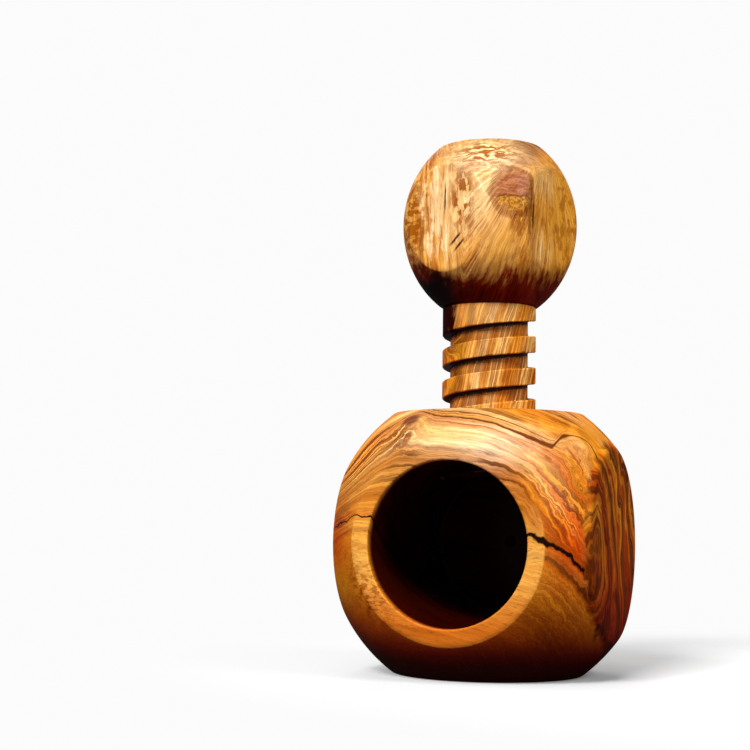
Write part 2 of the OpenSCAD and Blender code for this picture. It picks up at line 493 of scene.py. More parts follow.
def block_growth(wood):
    """The block's growth layers, and the layers that its veins follow, in mm. They are planes that rise to
    the back and the right, drawn towards knots and folded near them, with tongues in the flames."""
    tree, place, across = wood.tree, wood.place, wood.across
    wood.moved = disturbed(tree, place, ((38, 22, 22), 2.0, 2.0), ((11, 3.5, 3.5), 0.5, 3.0))
    front = dot(tree, wood.moved, (0.18, 0.72, 1.0))
    for centre, size, amount in BLOCK_HILLS:
        front = calc(tree, "ADD", front, wood.hill(centre, size, amount))
    fold = calc(tree, "SUBTRACT", swells(tree, place, (4.0, 3.0, 4.5), 4.0, 0.55), 0.5)
    folds = calc(tree, "ADD", wood.hill((-12.5, -27, 61), (6, 8, 6), 9.0), 1.2)
    front = calc(tree, "MULTIPLY_ADD", fold, folds, front)
    wood.vein_layer = calc(tree, "MULTIPLY_ADD", fold, 3.0, front)

    # the vein over the chamber hooks up by 4.4 mm on its way to the right
    past_hook = ramp(tree, across, 24.0, 25.6, 0.0, 4.4)
    wood.hooked = calc(tree, "SUBTRACT", front, past_hook)

    # flames on the right shoulder: long tongues that run down towards the right end
    tongue = add(tree, "Mapping",
                 {"Vector": place, "Rotation": (0, -38 * DEG, 45 * DEG), "Scale": (5, 5, 15)},
                 vector_type="TEXTURE")
    tongue = add(tree, "TexNoise", {"Vector": tongue, "Scale": 1.0, "Detail": 4.0, "Roughness": 0.58})
    tongue = calc(tree, "SUBTRACT", tongue, 0.5)
    wood.flaming = wood.hill((28, -24, 44), (12, 14, 14))
    reach = calc(tree, "MULTIPLY", wood.flaming, 10.0)
    front = calc(tree, "MULTIPLY_ADD", tongue, reach, front)
    feathers = calc(tree, "MULTIPLY", wood.flaming, 6.0)
    front = calc(tree, "MULTIPLY_ADD", fold, feathers, front)
    steep = ramp(tree, across, 12.0, 33.0, 0.0, -0.5)
    above = ramp(tree, wood.vein_layer, 14.8, 17.5)
    steep = calc(tree, "MULTIPLY", steep, above)
    lower = calc(tree, "SUBTRACT", wood.height, 64.0)
    front = calc(tree, "MULTIPLY_ADD", steep, lower, front)

    # the right end cuts across the layers: rings, narrower than they are tall
    bent = disturbed(tree, place, ((30, 13, 24), 5.0, 3.0))
    ring = distance(tree, bent, (0, -22, 34), (1e6, 1, 4 / 3))
    side = calc(tree, "MULTIPLY_ADD", wood.height, 0.3, 4.0)
    side = calc(tree, "MULTIPLY_ADD", ring, 1.15, side)
    sway = swells(tree, place, (40, 9, 17), 2.0, 0.45)
    side = calc(tree, "MULTIPLY_ADD", sway, 16.0, side)
    wood.side = calc(tree, "MULTIPLY_ADD", fold, 1.5, side)
    edge = calc(tree, "MULTIPLY_ADD", fold, 4.0, across)
    wood.on_side = ramp(tree, edge, 32.0, 33.4)
    wood.off_side = ramp(tree, edge, 32.6, 33.4, 1.0, 0.0)
    past_edge = ramp(tree, across, 33.2, 33.7)
    wood.growth = add(tree, "Mix", {0: past_edge, 2: front, 3: wood.side}, data_type="FLOAT")


def block_figure(wood, tints):
    """Tones and fine lines along the layers: calm over the chamber, on the left shoulder and under the long
    vein, and lively by the knot and in the flames."""
    tree, place, growth, off_side = wood.tree, wood.place, wood.growth, wood.off_side
    calm = calc(tree, "ADD", wood.hill((2, -30, 61), (15, 12, 5.5), -0.85), 1.0)
    wood.shoulder = wood.hill((-26, -23, 54), (12, 12, 12))
    bare = calc(tree, "MULTIPLY_ADD", wood.shoulder, -0.8, 1.0)
    calm = calc(tree, "MULTIPLY", calm, bare)
    figured = ramp(tree, growth, 8.0, 18.0, 0.12, 1.0)
    wood.on_face = ramp(tree, wood.depth, -33.6, -33.9, 0.0, 0.6)
    figured = calc(tree, "MAXIMUM", figured, wood.on_face)
    faint = streaks(tree, place, (14, 6, 6), 0.36, 0.62, 2.0)
    wood.present = streaks(tree, place, (20, 8, 8), 0.42, 0.60, 2.0)
    tone = bands(tree, growth, 0.55, 4.0, 0.35, 0.65)
    fine = layer_lines(tree, growth, 0.9, 0.16, 11.0)
    bold = layer_lines(tree, growth, 0.36, 0.10, 3.7)
    wood.stain("#E0A860", 0.4, tone, figured, off_side, bare)
    wood.stain(tints.brown, 0.6, fine, figured, off_side, calm, faint)
    wood.stain(tints.umber, 0.9, bold, figured, off_side, calm, wood.present)


def block_shoulders(wood, tints):
    """Amber on the left shoulder, where thin lines run down to the left, and flames on the right one."""
    tree, growth, off_side = wood.tree, wood.growth, wood.off_side
    wood.blend("#F2B660", 0.85, wood.shoulder)
    dark = linear("#6A2E0C")
    for per_mm, width, offset in ((0.22, 0.11, 6.1), (0.13, 0.08, 2.2)):
        wood.blend(dark, 0.8, layer_lines(tree, growth, per_mm, width, offset), wood.shoulder)
    wide_shoulder = wood.hill((-25, -23, 55), (14, 12, 12), 1.5)
    for level, half_width in ((35.4, 0.5), (38.3, 0.4), (40.4, 0.5), (42.2, 0.3), (44.4, 0.3)):
        shoulder_line = vein(tree, growth, level, half_width)
        wood.blend("#7A3810", 0.85, shoulder_line, wide_shoulder, off_side)
    zigzag = wood.hill((-14, -27, 60), (6, 8, 6), 1.3)
    wood.blend(dark, 0.85, layer_lines(tree, growth, 0.3, 0.13, 1.0), zigzag)

    # ochre and gold at the corners, and orange in the flames
    corner = wood.hill((31, -8, 62), (5, 8, 5))
    wood.blend("#D8962A", 0.75, corner)
    wood.stain("#D0B898", 0.5, corner)
    wood.stain("#F8D844", 0.8, wood.hill((-32, -18, 50), (13, 16, 16)))
    lobes = bands(tree, growth, 0.16, 1.3, 0.42, 0.58)
    flame = blend(tree, "#D8740C", "#F4A828", 1.0, lobes)
    wood.blend(flame, 0.95, wood.flaming, off_side)
    wood.stain("#FF8C18", 0.9, wood.hill((31, -27, 33), (9, 12, 9)), off_side)
    wood.stain(tints.brown, 0.6, layer_lines(tree, growth, 0.7, 0.10, 1.9), wood.flaming, off_side)
    flame_lines = layer_lines(tree, growth, 0.3, 0.15, 3.7)
    wood.blend("#6A2A08", 0.9, flame_lines, wood.flaming, off_side)


def block_end(wood, tints):
    """The right end: ochre between broad dark rings."""
    tree, side = wood.tree, wood.side
    ochre = blend(tree, "#AA4A0A", "#D88E20", 1.0, bands(tree, side, 0.12, 0.7, 0.38, 0.64))
    redder = ramp(tree, wood.height, 52.0, 12.0)
    end = stain(tree, ochre, "#C4682C", 0.9, redder)
    end = blend(tree, end, "#5E280A", 0.8, bands(tree, side, 0.17, 5.2, 0.54, 0.62))
    end = blend(tree, end, tints.umber, 0.8, layer_lines(tree, side, 0.1, 0.05, 8.1))
    end = stain(tree, end, tints.brown, 0.6, layer_lines(tree, side, 0.45, 0.14, 2.6), wood.present)
    wood.blend(end, 1.0, wood.on_side)


def block_veins(wood, tints):
    """A brown vein, the hooked vein over the chamber between two thin lines, and a knot where layers meet.
    The long near-black vein is only made ready: it's drawn later, over the pale front face."""
    tree, across, vein_layer, off_side = wood.tree, wood.across, wood.vein_layer, wood.off_side
    thick = ramp(tree, across, 12.0, 24.0, 0.4, 0.9)
    wood.long_vein = vein(tree, vein_layer, 14.8, thick)
    to_right = ramp(tree, across, 14.0, 22.0)
    wood.blend(tints.umber, 0.8, vein(tree, vein_layer, 10.8, 0.8), to_right, off_side)
    thick = ramp(tree, across, 12.0, 24.0, 0.4, 1.3)
    thin = ramp(tree, across, 25.0, 27.0, 1.0, 0.3)
    thick = calc(tree, "MULTIPLY", thick, thin)
    wood.blend("#5A260A", 0.95, vein(tree, wood.hooked, 45.2, thick), off_side)
    along_top = wood.hill((8, -24, 64), (22, 9, 8), 1.4)
    for level in (43.0, 47.6):
        wood.blend("#7A3E14", 0.8, vein(tree, wood.hooked, level, 0.32), along_top, off_side)
    knot = distance(tree, wood.moved, (-12.5, -25.4, 64.8), (3.6, 3.0, 2.0))
    knot = ramp(tree, knot, 1.1, 0.5)
    wood.blend("#5E2A22", 0.85, knot)


def block_heartwood(wood, tints):
    """Darker towards the foot, partly redder heartwood and partly painted shade, where only the turned
    front face stays pale; and the long vein.
    """
    tree, height, vein_layer, on_face = wood.tree, wood.height, wood.vein_layer, wood.on_face
    behind_face = ramp(tree, wood.depth, -33.9, -33.6)
    low_right = wood.hill((24, -26, 20), (13, 12, 14))
    wood.blend("#E0A038", 0.6, wood.hill((19, -29, 27), (7, 8, 6)), behind_face)
    wood.stain("#B06A18", 0.45, bands(tree, vein_layer, 0.4, 2.0, 0.42, 0.60), low_right, behind_face)
    wood.stain(tints.brown, 0.6, layer_lines(tree, vein_layer, 0.5, 0.12, 4.0), low_right, behind_face)
    deep = ramp(tree, height, 27.0, 3.0)
    low_face = ramp(tree, height, 46.0, 30.0)
    wood.stain("#F8CE60", 0.5, wood.hill((-24, -22, 60), (10, 10, 8)), behind_face)
    olive = wood.hill((-32, -22, 24), (10, 10, 8))
    wood.blend("#D89A20", 0.85, olive, behind_face)
    wood.stain("#D8921A", 1.1, wood.hill((-31.5, -25, 34), (9, 11, 9)), behind_face)
    # partly redder heartwood, partly painted shade: the ball turns darker red towards the foot
    wood.stain("#A8340A", 1.0, deep, behind_face)
    wood.stain("#B86010", 0.5, wood.hill((-28, -20, 13), (12, 14, 10)), behind_face)
    # partly dark heartwood, partly painted shade: near black at the foot
    foot = ramp(tree, height, 15.0, 3.0)
    wood.stain("#48140A", 0.9, foot)
    wood.blend("#F2BC5C", 1.1, on_face, low_face)
    low_rim = ramp(tree, height, 30.0, 12.0)
    wood.stain("#D09240", 1.5, on_face, low_rim)
    wood.blend(tints.black, 1.0, wood.long_vein, wood.off_side)
    dusty = streaks(tree, wood.place, (1.6, 9, 1.0), 0.46, 0.60)
    wood.stain("#A8682C", 0.8, wood.hill((-22, -34, 20), (9, 3, 11)), dusty)


def block_shade_and_oil(wood):
    """The chamber, darkened with painted shade, and the finish. The chamber, the end grain and the foot
    have drunk the oil, and shine less."""
    tree, depth = wood.tree, wood.depth
    bore = distance(tree, wood.place, (0, 0, 34), (1, 1e6, 1))
    bore = ramp(tree, bore, 21.2, 20.8)
    inside = ramp(tree, depth, -33.9, -31.0)
    before_back = ramp(tree, depth, 28.0, 26.0)
    # painted shade: the chamber's wall darkened from just inside the mouth to near its back
    wood.stain("#4A2008", 1.0, bore, inside, before_back)
    dull = calc(tree, "MINIMUM", bore, inside)
    dull = calc(tree, "MAXIMUM", dull, ramp(tree, wood.across, 23.0, 33.5))
    dull = calc(tree, "MAXIMUM", dull, ramp(tree, wood.height, 44.0, 24.0))
    shine = between(tree, dull, 0.045, 0.012)
    oiled_surface(wood, wood.across, depth, wood.growth, "#C09058", "#84481C", shine)


def block_wood(tints):
    """Olive wood, sawn, turned and oiled: honey and straw sapwood, dark veins and flames of heartwood."""
    wood = Wood("olive wood, turned and oiled block")
    block_growth(wood)
    wood.colour = layer_colours(wood.tree, wood.growth, BLOCK_LAYERS, tints)
    # painted highlight: a pale pinkish sheen on the right shoulder over the chamber, and a fainter pale one
    # over the chamber's left
    wood.blend("#F6DCC0", 0.8, wood.hill((13, -31, 57), (11, 8, 5.5)))
    wood.blend("#F8E0B4", 0.35, wood.hill((-3, -31, 58), (12, 8, 5)))
    block_figure(wood, tints)
    block_shoulders(wood, tints)
    block_end(wood, tints)
    block_veins(wood, tints)
    block_heartwood(wood, tints)
    block_shade_and_oil(wood)
    return wood.material


SCREW_LAYERS = [
    (-17, "ochre"), (-13, "amber"), (-10, "gold"), (-8.2, "ochre"), (-6.5, "honey"), (-4.4, "straw"),
    (-2.6, "cream"), (-0.8, "honey"), (0.9, "straw"), (1.5, "straw"), (1.8, "cream"), (3.0, "straw"),
    (3.4, "honey"), (6.0, "gold"), (7.4, "honey"), (8.8, "straw"), (10.0, "straw"), (12.0, "gold"),
    (17, "gold"),
]


def screw_wood(tints, screw, groove_z):
    """Olive wood, turned and cut with a thread: straight fibres up the screw, in honey, straw and amber,
    with painted shade in the groove and a painted shadow under each ridge. groove_z is the groove's height
    at the +X side."""
    wood = Wood("olive wood, turned and threaded screw")
    tree, place, across, depth, height = wood.tree, wood.place, wood.across, wood.depth, wood.height
    moved = disturbed(tree, place, ((9, 9, 26), 1.6, 2.0), ((2.6, 2.6, 7), 0.45, 3.0))
    from_middle = vector(tree, "SUBTRACT", moved, (0, 0, 80))
    growth = dot(tree, from_middle, (0.93, 0.34, -0.24))
    growth = calc(tree, "ADD", growth, wood.hill((-7.5, -10.5, 85), (2.8, 4, 1.8), 5.0))
    wood.colour = layer_colours(tree, growth, SCREW_LAYERS, tints)
    present = streaks(tree, place, (6, 6, 12), 0.40, 0.60, 2.0)
    wood.stain("#C89A54", 0.8, bands(tree, growth, 1.1, 2.0, 0.38, 0.62))
    wood.stain(tints.brown, 0.7, layer_lines(tree, growth, 0.9, 0.14, 5.0), present)
    wood.blend("#F0CC8C", 0.2, wood.hill((-1, -12, 94), (8, 6, 4)))

    # a dark patch on the collar's left just under the knob, ragged along the fibres, and the end that the
    # nuts have stained
    line = add(tree, "CombineXYZ", [growth, depth, height])
    ragged = streaks(tree, line, (1.4, 4, 9), 0.34, 0.66)
    left = calc(tree, "MULTIPLY_ADD", ragged, 1.8, across)
    left = ramp(tree, left, -4.2, -6.0)
    top = calc(tree, "MULTIPLY_ADD", ragged, -3.0, height)
    top = ramp(tree, top, 84.5, 88.0)
    to_back = calc(tree, "MULTIPLY_ADD", ragged, 6.0, depth)
    to_back = ramp(tree, to_back, 7.0, 0.5)
    tip = ramp(tree, height, 58.0, 54.0)
    patch = calc(tree, "MULTIPLY", top, to_back)
    patch = calc(tree, "MULTIPLY", patch, left)
    wood.stain("#3A1004", 1.0, patch)
    wood.stain("#4A1404", 1.0, tip)

    # how far a point is up the groove, as a share of the pitch, and how deep it lies
    turn = calc(tree, "ARCTAN2", depth, across)
    wound = calc(tree, "MULTIPLY_ADD", turn, -1 / (2 * math.pi), 0.5 - groove_z / screw.pitch)
    wound = calc(tree, "MULTIPLY_ADD", height, MM / screw.pitch, wound)
    up = calc(tree, "FRACT", wound)
    uneven = add(tree, "TexNoise", {"Vector": place, "Scale": 1.1, "Detail": 3.0})
    up = calc(tree, "MULTIPLY_ADD", uneven, 0.16, up)
    middle = distance(tree, place, (0, 0, 0), (1, 1, 1e6))
    radius, top_edge = screw.diameter / 2 / MM, 0.5 + screw.groove_width / screw.pitch / 2
    in_groove = ramp(tree, middle, radius - 0.1, radius - 0.7)
    under_ridge = ramp(tree, up, top_edge - 0.05, top_edge + 0.01)
    # painted shade: brown down in the groove, and a near-black painted shadow under each ridge
    wood.stain("#B07434", 0.35, in_groove)
    wood.blend("#180802", 0.97, under_ridge, in_groove)
    shine = between(tree, patch, 0.045, 0.015)
    oiled_surface(wood, height, depth, growth, "#C89A58", "#8A4C1E", shine)
    return wood.material


KNOB_LAYERS = [
    (-60, "amber"), (-44, "honey"), (-38, "amber"), (-33, "straw"), (-28, "cream"), (-24, "straw"),
    (-20, "gold"), (-17, "straw"), (-13, "honey"), (-10, "straw"), (-7, "gold"), (-4, "honey"),
    (-1.5, "amber"), (1.5, "ochre"), (4, "honey"), (6, "ochre"), (8.5, "straw"), (11, "gold"),
    (14, "straw"), (18, "gold"), (24, "honey"), (34, "honey"), (48, "amber"),
]
KNOT = (12.4, -19.0, 124.0)


def knob_growth(wood):
    """The knob's growth layers: upright fibres pinched towards the knot, and rings round it above."""
    tree, place, height = wood.tree, wood.place, wood.height
    moved = disturbed(tree, place, ((14, 14, 26), 1.6, 2.0), ((3.2, 3.2, 8), 0.5, 3.0))
    from_knot = vector(tree, "SUBTRACT", moved, KNOT)
    beside = dot(tree, from_knot, (0.93, 0.37, 0.0))
    moved_z = height_of(tree, moved)
    below = calc(tree, "SUBTRACT", 140.5, moved_z)
    below = calc(tree, "MAXIMUM", below, 4.0)
    fan = calc(tree, "ARCTAN2", calc(tree, "SUBTRACT", beside, 10.0), below)
    wood.beside, wood.fan = beside, calc(tree, "MULTIPLY", fan, 34.0)
    wood.ring = calc(tree, "MULTIPLY_ADD", distance(tree, moved, KNOT, (1, 1, 0.87)), -1.6, 6.0)
    wood.over = calc(tree, "MULTIPLY", ramp(tree, height, 129.5, 132.0), ramp(tree, wood.across, 6.0, 11.0))
    on_fan = ramp(tree, beside, -15.0, -12.0)
    growth = add(tree, "Mix", {0: on_fan, 2: beside, 3: wood.fan}, data_type="FLOAT")
    wood.growth = add(tree, "Mix", {0: wood.over, 2: growth, 3: wood.ring}, data_type="FLOAT")


def knob_fan(wood, tints):
    """The knob's front: fibres fanned out under the knot, the palest of them on its left, and a painted
    pool of light in pale streaks.
    """
    tree, growth = wood.tree, wood.growth
    wood.colour = layer_colours(tree, growth, KNOB_LAYERS, tints)
    wood.line = line = add(tree, "CombineXYZ", [growth, wood.depth, wood.height])
    present = streaks(tree, wood.place, (8, 8, 14), 0.42, 0.60, 2.0)
    wood.stain("#B48038", 0.75, streaks(tree, line, (1.1, 9, 18), 0.44, 0.62))
    # painted light: a pool of pale streaks on the knob's front, left of and below the knot
    lit = wood.hill((-1, -22, 118), (8, 8, 10), 0.95)
    wood.blend("#F4D494", 1.0, lit, streaks(tree, line, (1.5, 9, 18), 0.60, 0.40))
    wood.blend("#F8E0AC", 0.5, wood.hill((4, -21, 120), (7, 8, 9)))
    wood.blend("#E4A636", 0.4, wood.hill((9, -21, 109), (10, 8, 8)))
    wood.stain(tints.brown, 0.7, layer_lines(tree, growth, 0.6, 0.10, 2.0), present)
    wood.stain(tints.brown, 0.9, layer_lines(tree, wood.ring, 0.45, 0.2, 3.0), wood.over)


def knob_flat(wood, knob):
    """The left flat: pale sapwood with a ragged edge, blotched with ochre at its far side."""
    tree, place, line = wood.tree, wood.place, wood.line
    cos, sin = math.cos(knob.turn), math.sin(knob.turn)
    wood.out_left = dot(tree, place, (sin, -cos, 0))
    flat = knob.flats / 2 / MM
    on_left = ramp(tree, wood.out_left, flat - 0.35, flat - 0.1)
    ragged = calc(tree, "MULTIPLY_ADD", streaks(tree, line, (1.6, 3, 6), 0.38, 0.62), 0.9,
                  distance(tree, place, (-8.5, -18, 121), (6.0, 9, 12.5)))
    pale = ramp(tree, ragged, 1.5, 0.9)
    wood.fine = streaks(tree, line, (0.45, 16, 22), 0.36, 0.64)
    sapwood = stain(tree, "#F4E0B2", "#E0B468", 0.7, wood.fine)
    sapwood = stain(tree, sapwood, "#CE8C34", 0.8, streaks(tree, line, (1.3, 9, 14), 0.54, 0.66))
    wood.blend(sapwood, 0.9, on_left, pale)
    blotch = streaks(tree, place, (3, 3, 1.6), 0.40, 0.58)
    far_left = wood.hill((-17, -13, 118), (5, 8, 13), 1.4)
    wood.blend("#CC8A1C", 0.6, ramp(tree, wood.across, -12.5, -17.0))
    wood.blend("#945208", 1.0, far_left, blotch)


def knob_sides(wood, tints):
    """Torn brown grain between the flat and the fan, and the right side: ochre, with painted glints in pale
    streaks.
    """
    tree, place = wood.tree, wood.place
    torn = streaks(tree, place, (2.2, 2.2, 4.5), 0.44, 0.54)
    wood.blend("#9A5414", 1.0, wood.hill((-1.0, -20, 123), (3.2, 6, 9), 1.5), torn)
    right = ramp(tree, wood.across, 14.0, 18.0)
    wood.blend("#E2A42C", 0.55, right)
    wood.blend("#A0600A", 0.8, right, streaks(tree, place, (2.6, 2.6, 3.6), 0.47, 0.60))
    ochre = wood.hill((15.4, -16.6, 118), (3.6, 5, 12), 1.6)
    wood.blend("#945A0C", 0.8, ochre, streaks(tree, place, (1.8, 1.8, 4), 0.46, 0.54))
    # painted highlight: cream glints in fine streaks on the knob's right side
    for spot, size in (((18.2, -10, 127.5), (3, 5, 5)), ((17.8, -11, 110), (3.5, 5, 5))):
        wood.blend(tints.cream, 0.9, wood.hill(spot, size), wood.fine)


def knob_knot(wood, tints):
    """Wispy pale wood over the knot, where the fibres close round it, and the knot itself: purple-brown
    above, speckled gold below, dark round the edge."""
    tree, place = wood.tree, wood.place
    wisps = streaks(tree, disturbed(tree, place, ((4, 4, 3), 1.2, 2.0)), (2.6, 2.6, 0.7), 0.42, 0.58)
    crown = wood.hill((4, -17, 134.5), (10, 9, 5), 1.2)
    wood.blend("#F0E0B8", 0.85, crown)
    wood.stain("#A26A34", 0.95, crown, wisps)
    wood.stain("#EADCBC", 0.8, ramp(tree, wood.height, 130.0, 136.0))
    rough_place = disturbed(tree, place, ((2.8, 2.8, 2.8), 1.5, 3.0))
    eye = distance(tree, rough_place, KNOT, (5.6, 6.4, 6.6))
    inside = ramp(tree, eye, 1.15, 0.65)
    knot_z = height_of(tree, disturbed(tree, place, ((3.5, 3.5, 3), 2.4, 3.0)))
    upper = ramp(tree, knot_z, 121.6, 122.8)
    speck = streaks(tree, rough_place, (0.9, 0.9, 0.6), 0.42, 0.58)
    heart = blend(tree, "#C08830", "#6A3A10", 0.8, speck)
    purple = stain(tree, "#A26846", "#A8745C", 0.65, wisps)
    heart = blend(tree, heart, purple, 1.0, upper)
    heart = blend(tree, heart, tints.umber, 0.7, vein(tree, knot_z, 122.2, 0.4))
    wood.blend(heart, 0.92, inside)
    wood.stain(tints.brown, 0.45, vein(tree, eye, 1.0, 0.16))


def knob_cracks(wood):
    """Drying cracks along the fibres: one on the pale flat, one beside the knot, two by the flat's edge."""
    tree, beside, fan = wood.tree, wood.beside, wood.fan
    for field, level, width, spot, size in (
            (beside, -17.3, 0.24, (-6.4, -18.6, 123), (4, 4, 5.5)),
            (beside, 5.0, 0.26, (16.5, -15, 118.5), (4, 6, 6)),
            (fan, -24.2, 0.38, (-3, -20, 112), (4, 4, 2.6)),
            (fan, -22.6, 0.28, (-2, -20, 110.5), (4, 4, 2.6))):
        near = ramp(tree, distance(tree, wood.place, spot, size), 1.0, 0.3)
        wood.blend("#3A180A", 0.95, vein(tree, field, level, width), near)


def knob_underside(wood, knob):
    """Dark heartwood and painted shade under the widest ring, its edge drawn out along the fibres and
    stopped by the flat. It shines less."""
    tree, flat = wood.tree, knob.flats / 2 / MM
    off_flat = ramp(tree, wood.out_left, flat - 0.15, flat - 0.5)
    low = calc(tree, "MULTIPLY_ADD", streaks(tree, wood.line, (1.3, 3, 14), 0.25, 0.75), 7.0, wood.height)
    low = calc(tree, "ADD", low, wood.hill((-19, -15, 106), (9, 12, 9), -6.0))
    low = ramp(tree, low, 110.0, 104.0)
    deeper = height_of(tree, disturbed(tree, wood.place, ((9, 9, 6), 5.0, 2.0)))
    deeper = ramp(tree, deeper, 109.0, 101.0)
    # partly dark heartwood, partly painted shade: red-brown under the widest ring, near black lower down
    # and to the left
    wood.stain("#A03808", 1.0, low, off_flat)
    to_left = ramp(tree, wood.across, 4.0, -9.0, 0.45, 1.0)
    wood.stain("#2C0804", 1.0, deeper, to_left, off_flat)
    shine = between(tree, low, 0.045, 0.015)
    oiled_surface(wood, wood.height, wood.depth, wood.growth, "#C89850", "#8A4C1E", shine)


def knob_wood(tints, knob):
    """Olive wood from beside a branch: fibres that run in to a brown knot, with rings over it."""
    wood = Wood("olive wood, turned and oiled knob")
    knob_growth(wood)
    knob_fan(wood, tints)
    knob_flat(wood, knob)
    knob_sides(wood, tints)
    knob_knot(wood, tints)
    knob_cracks(wood)
    knob_underside(wood, knob)
    return wood.material


def dowel_wood(tints):
    """Beech dowel rod, rolled and left bare: pale pinkish wood, dead straight, with short dark rays."""
    material, tree = new_material("beech dowel rod")
    place = place_in_mm(tree)[0]
    moved = disturbed(tree, place, ((5, 5, 30), 0.5, 2.0))
    fibres = streaks(tree, moved, (0.5, 0.5, 9), 0.34, 0.66)
    rays = streaks(tree, moved, (0.18, 0.18, 1.6), 0.60, 0.70, 1.0)
    colour = stain(tree, tints.beech, "#D8B088", 0.5, fibres)
    colour = stain(tree, colour, "#9A6840", 0.7, rays)
    rough = between(tree, fibres, 0.58, 0.68)
    bump = add(tree, "Bump", {"Height": fibres, "Strength": 0.3, "Distance": 0.05 * MM})
    surface = add(tree, "BsdfPrincipled",
                  {"Base Color": colour, "Roughness": rough, "Normal": bump, "IOR": 1.46})
    add(tree, "OutputMaterial", {"Surface": surface})
    return material


SEEN_WHITE = 0.97


def seen_directly(tree):
    """1 for what the camera sees, straight or in a gloss, and 0 for the light that falls on the pieces."""
    camera, gloss, through = (add(tree, "LightPath", output=ray)
                              for ray in ("Is Camera Ray", "Is Glossy Ray", "Is Transmission Ray"))
    seen = calc(tree, "MAXIMUM", gloss, through)
    return calc(tree, "MAXIMUM", seen, camera)


def world_light():
    """A plain studio: white where it is seen, and a dim even grey where it lights the pieces."""
    world = bpy.data.worlds.new("Studio")
    world.use_nodes = True
    tree = world.node_tree
    tree.nodes.clear()
    level = between(tree, seen_directly(tree), 0.10, SEEN_WHITE)
    light = add(tree, "Background", {"Strength": level, "Color": linear("#FFFFFF")})
    add(tree, "OutputWorld", {"Surface": light})
    return world


def floor_finish():
    """Matt white card: it takes the object's shadow near by and runs out into plain white."""
    material, tree = new_material("matt white card")
    card = add(tree, "BsdfDiffuse", {"Color": linear("#C6C6C6")})
    dim = add(tree, "BsdfDiffuse", {"Color": linear("#6A5A4A")})
    white = add(tree, "Emission", {"Color": linear("#FFFFFF"), "Strength": SEEN_WHITE})
    away = distance(tree, add(tree, "TexCoord", output="Object"), (0.10, 0.04, 0), (0.22, 0.17, 1))
    far = ramp(tree, away, 0.35, 1.0)
    visible = add(tree, "MixShader", [far, card, white])
    add(tree, "OutputMaterial", {"Surface": add(tree, "MixShader", [seen_directly(tree), dim, visible])})
    return material


# ---------------------------------------------------------------- the pieces

def block_mesh(sizes):
    """The cut ball with the nut chamber turned into its front flat, closed all round. The wall behind the
    chamber is as thick as the walls beside it, and the drill's point has left a mark in the middle."""
    radius, flat, chamber = sizes.ball / 2, sizes.flats / 2, sizes.chamber / 2
    heights = {face: flat for face in FACES}
    mouth = chamber + sizes.rim
    depth = sizes.flats - (flat - chamber)
    floor = flat - depth
    mark, mark_depth, corner = 1.6 * MM, 1.4 * MM, 0.5 * MM
    opening = math.atan(mouth / flat)
    grids = [face_patch(face, radius, heights, sizes.softness,
                        opening if face == "-Y" else 0.0) for face in FACES]
    rim = [(chamber + sizes.rim * (1 - math.sin(a)), flat - sizes.rim * (1 - math.cos(a)))
           for a in np.radians(np.linspace(0, 90, 7))]
    wall = straight(rim[-1], (chamber, floor + corner), 40)
    inner = arc((chamber - corner, floor + corner), corner, 0, -90, 5)[1:]
    back = straight(inner[-1], (mark, floor), 10)
    point = straight(back[-1], (0, floor - mark_depth), 3)
    grids.append(bored_grid("-Y", rim + wall + inner + back + point))
    mesh = mesh_from_grids("block", grids)
    mesh.transform(Matrix.Translation((0, 0, flat)))
    return mesh


def groove_section(root, crest, width, low_wear, high_wear, reach, raised):
    """Corners of the groove cutter's section at every angle, as radius and height: a flat floor with small
    fillets, straight flanks, and shoulders that round the crest off by each flank's wear. The whole section
    moves out by raised. Wear and raised hold a number for each angle."""
    fillet, half = 0.3 * MM, width / 2
    floor, top = root + raised, crest + raised
    radii, heights = [], []
    for wear in (low_wear, high_wear):
        flank = [floor, floor + fillet, top - wear, top - 0.5 * wear, top - 0.12 * wear, top + 0.25 * wear,
                 top + reach]
        outward = [half - fillet + 0 * wear, half + 0 * wear, half + 0 * wear, half + 0.15 * wear,
                   half + 0.55 * wear, half + 1.05 * wear, half + 1.2 * wear]
        radii.append(np.stack(flank, -1))
        heights.append(np.stack(outward, -1))
    radius = np.concatenate([radii[0], radii[1][:, ::-1]], 1)
    height = np.concatenate([-heights[0], heights[1][:, ::-1]], 1)
    return radius, height


def bore_threads(block, sizes, screw):
    """Bores the screw's hole from the top flat into the chamber, with a flared mouth and a thread."""
    top, flat = sizes.flats, sizes.flats / 2
    crest = screw.diameter / 2 + screw.play
    root = screw.diameter / 2 - screw.groove_depth + screw.play
    flare, over, flank_play, step = 2.7 * MM, 1 * MM, 0.25 * MM, 5 * DEG
    mouth, over_mouth = crest + 0.5 * MM, crest + 0.9 * MM
    hole = [(0, flat), (root, flat), (root, top - flare), (mouth, top), (over_mouth, top + over),
            (0, top + over)]
    cut_away(block, mesh_from_grids("hole", [bored_grid("+Z", hole)]))
    width = screw.pitch - screw.groove_width + 2 * flank_play
    rise = screw.pitch / (2 * math.pi)
    lift = top + screw.groove_start + screw.pitch / 2
    thread_foot, thread_head = flat + 12 * MM, top + 3 * MM
    first, last = (thread_foot - lift) / rise, (thread_head - lift) / rise
    angles = np.linspace(first, last, int((last - first) / step))
    radius = np.tile([root - over, crest, crest, root - over], (len(angles), 1))
    height = np.tile([-width / 2, -width / 2, width / 2, width / 2], (len(angles), 1))
    cut_away(block, mesh_from_grids("female", [wound_grid(radius, height, angles, rise, lift)]))


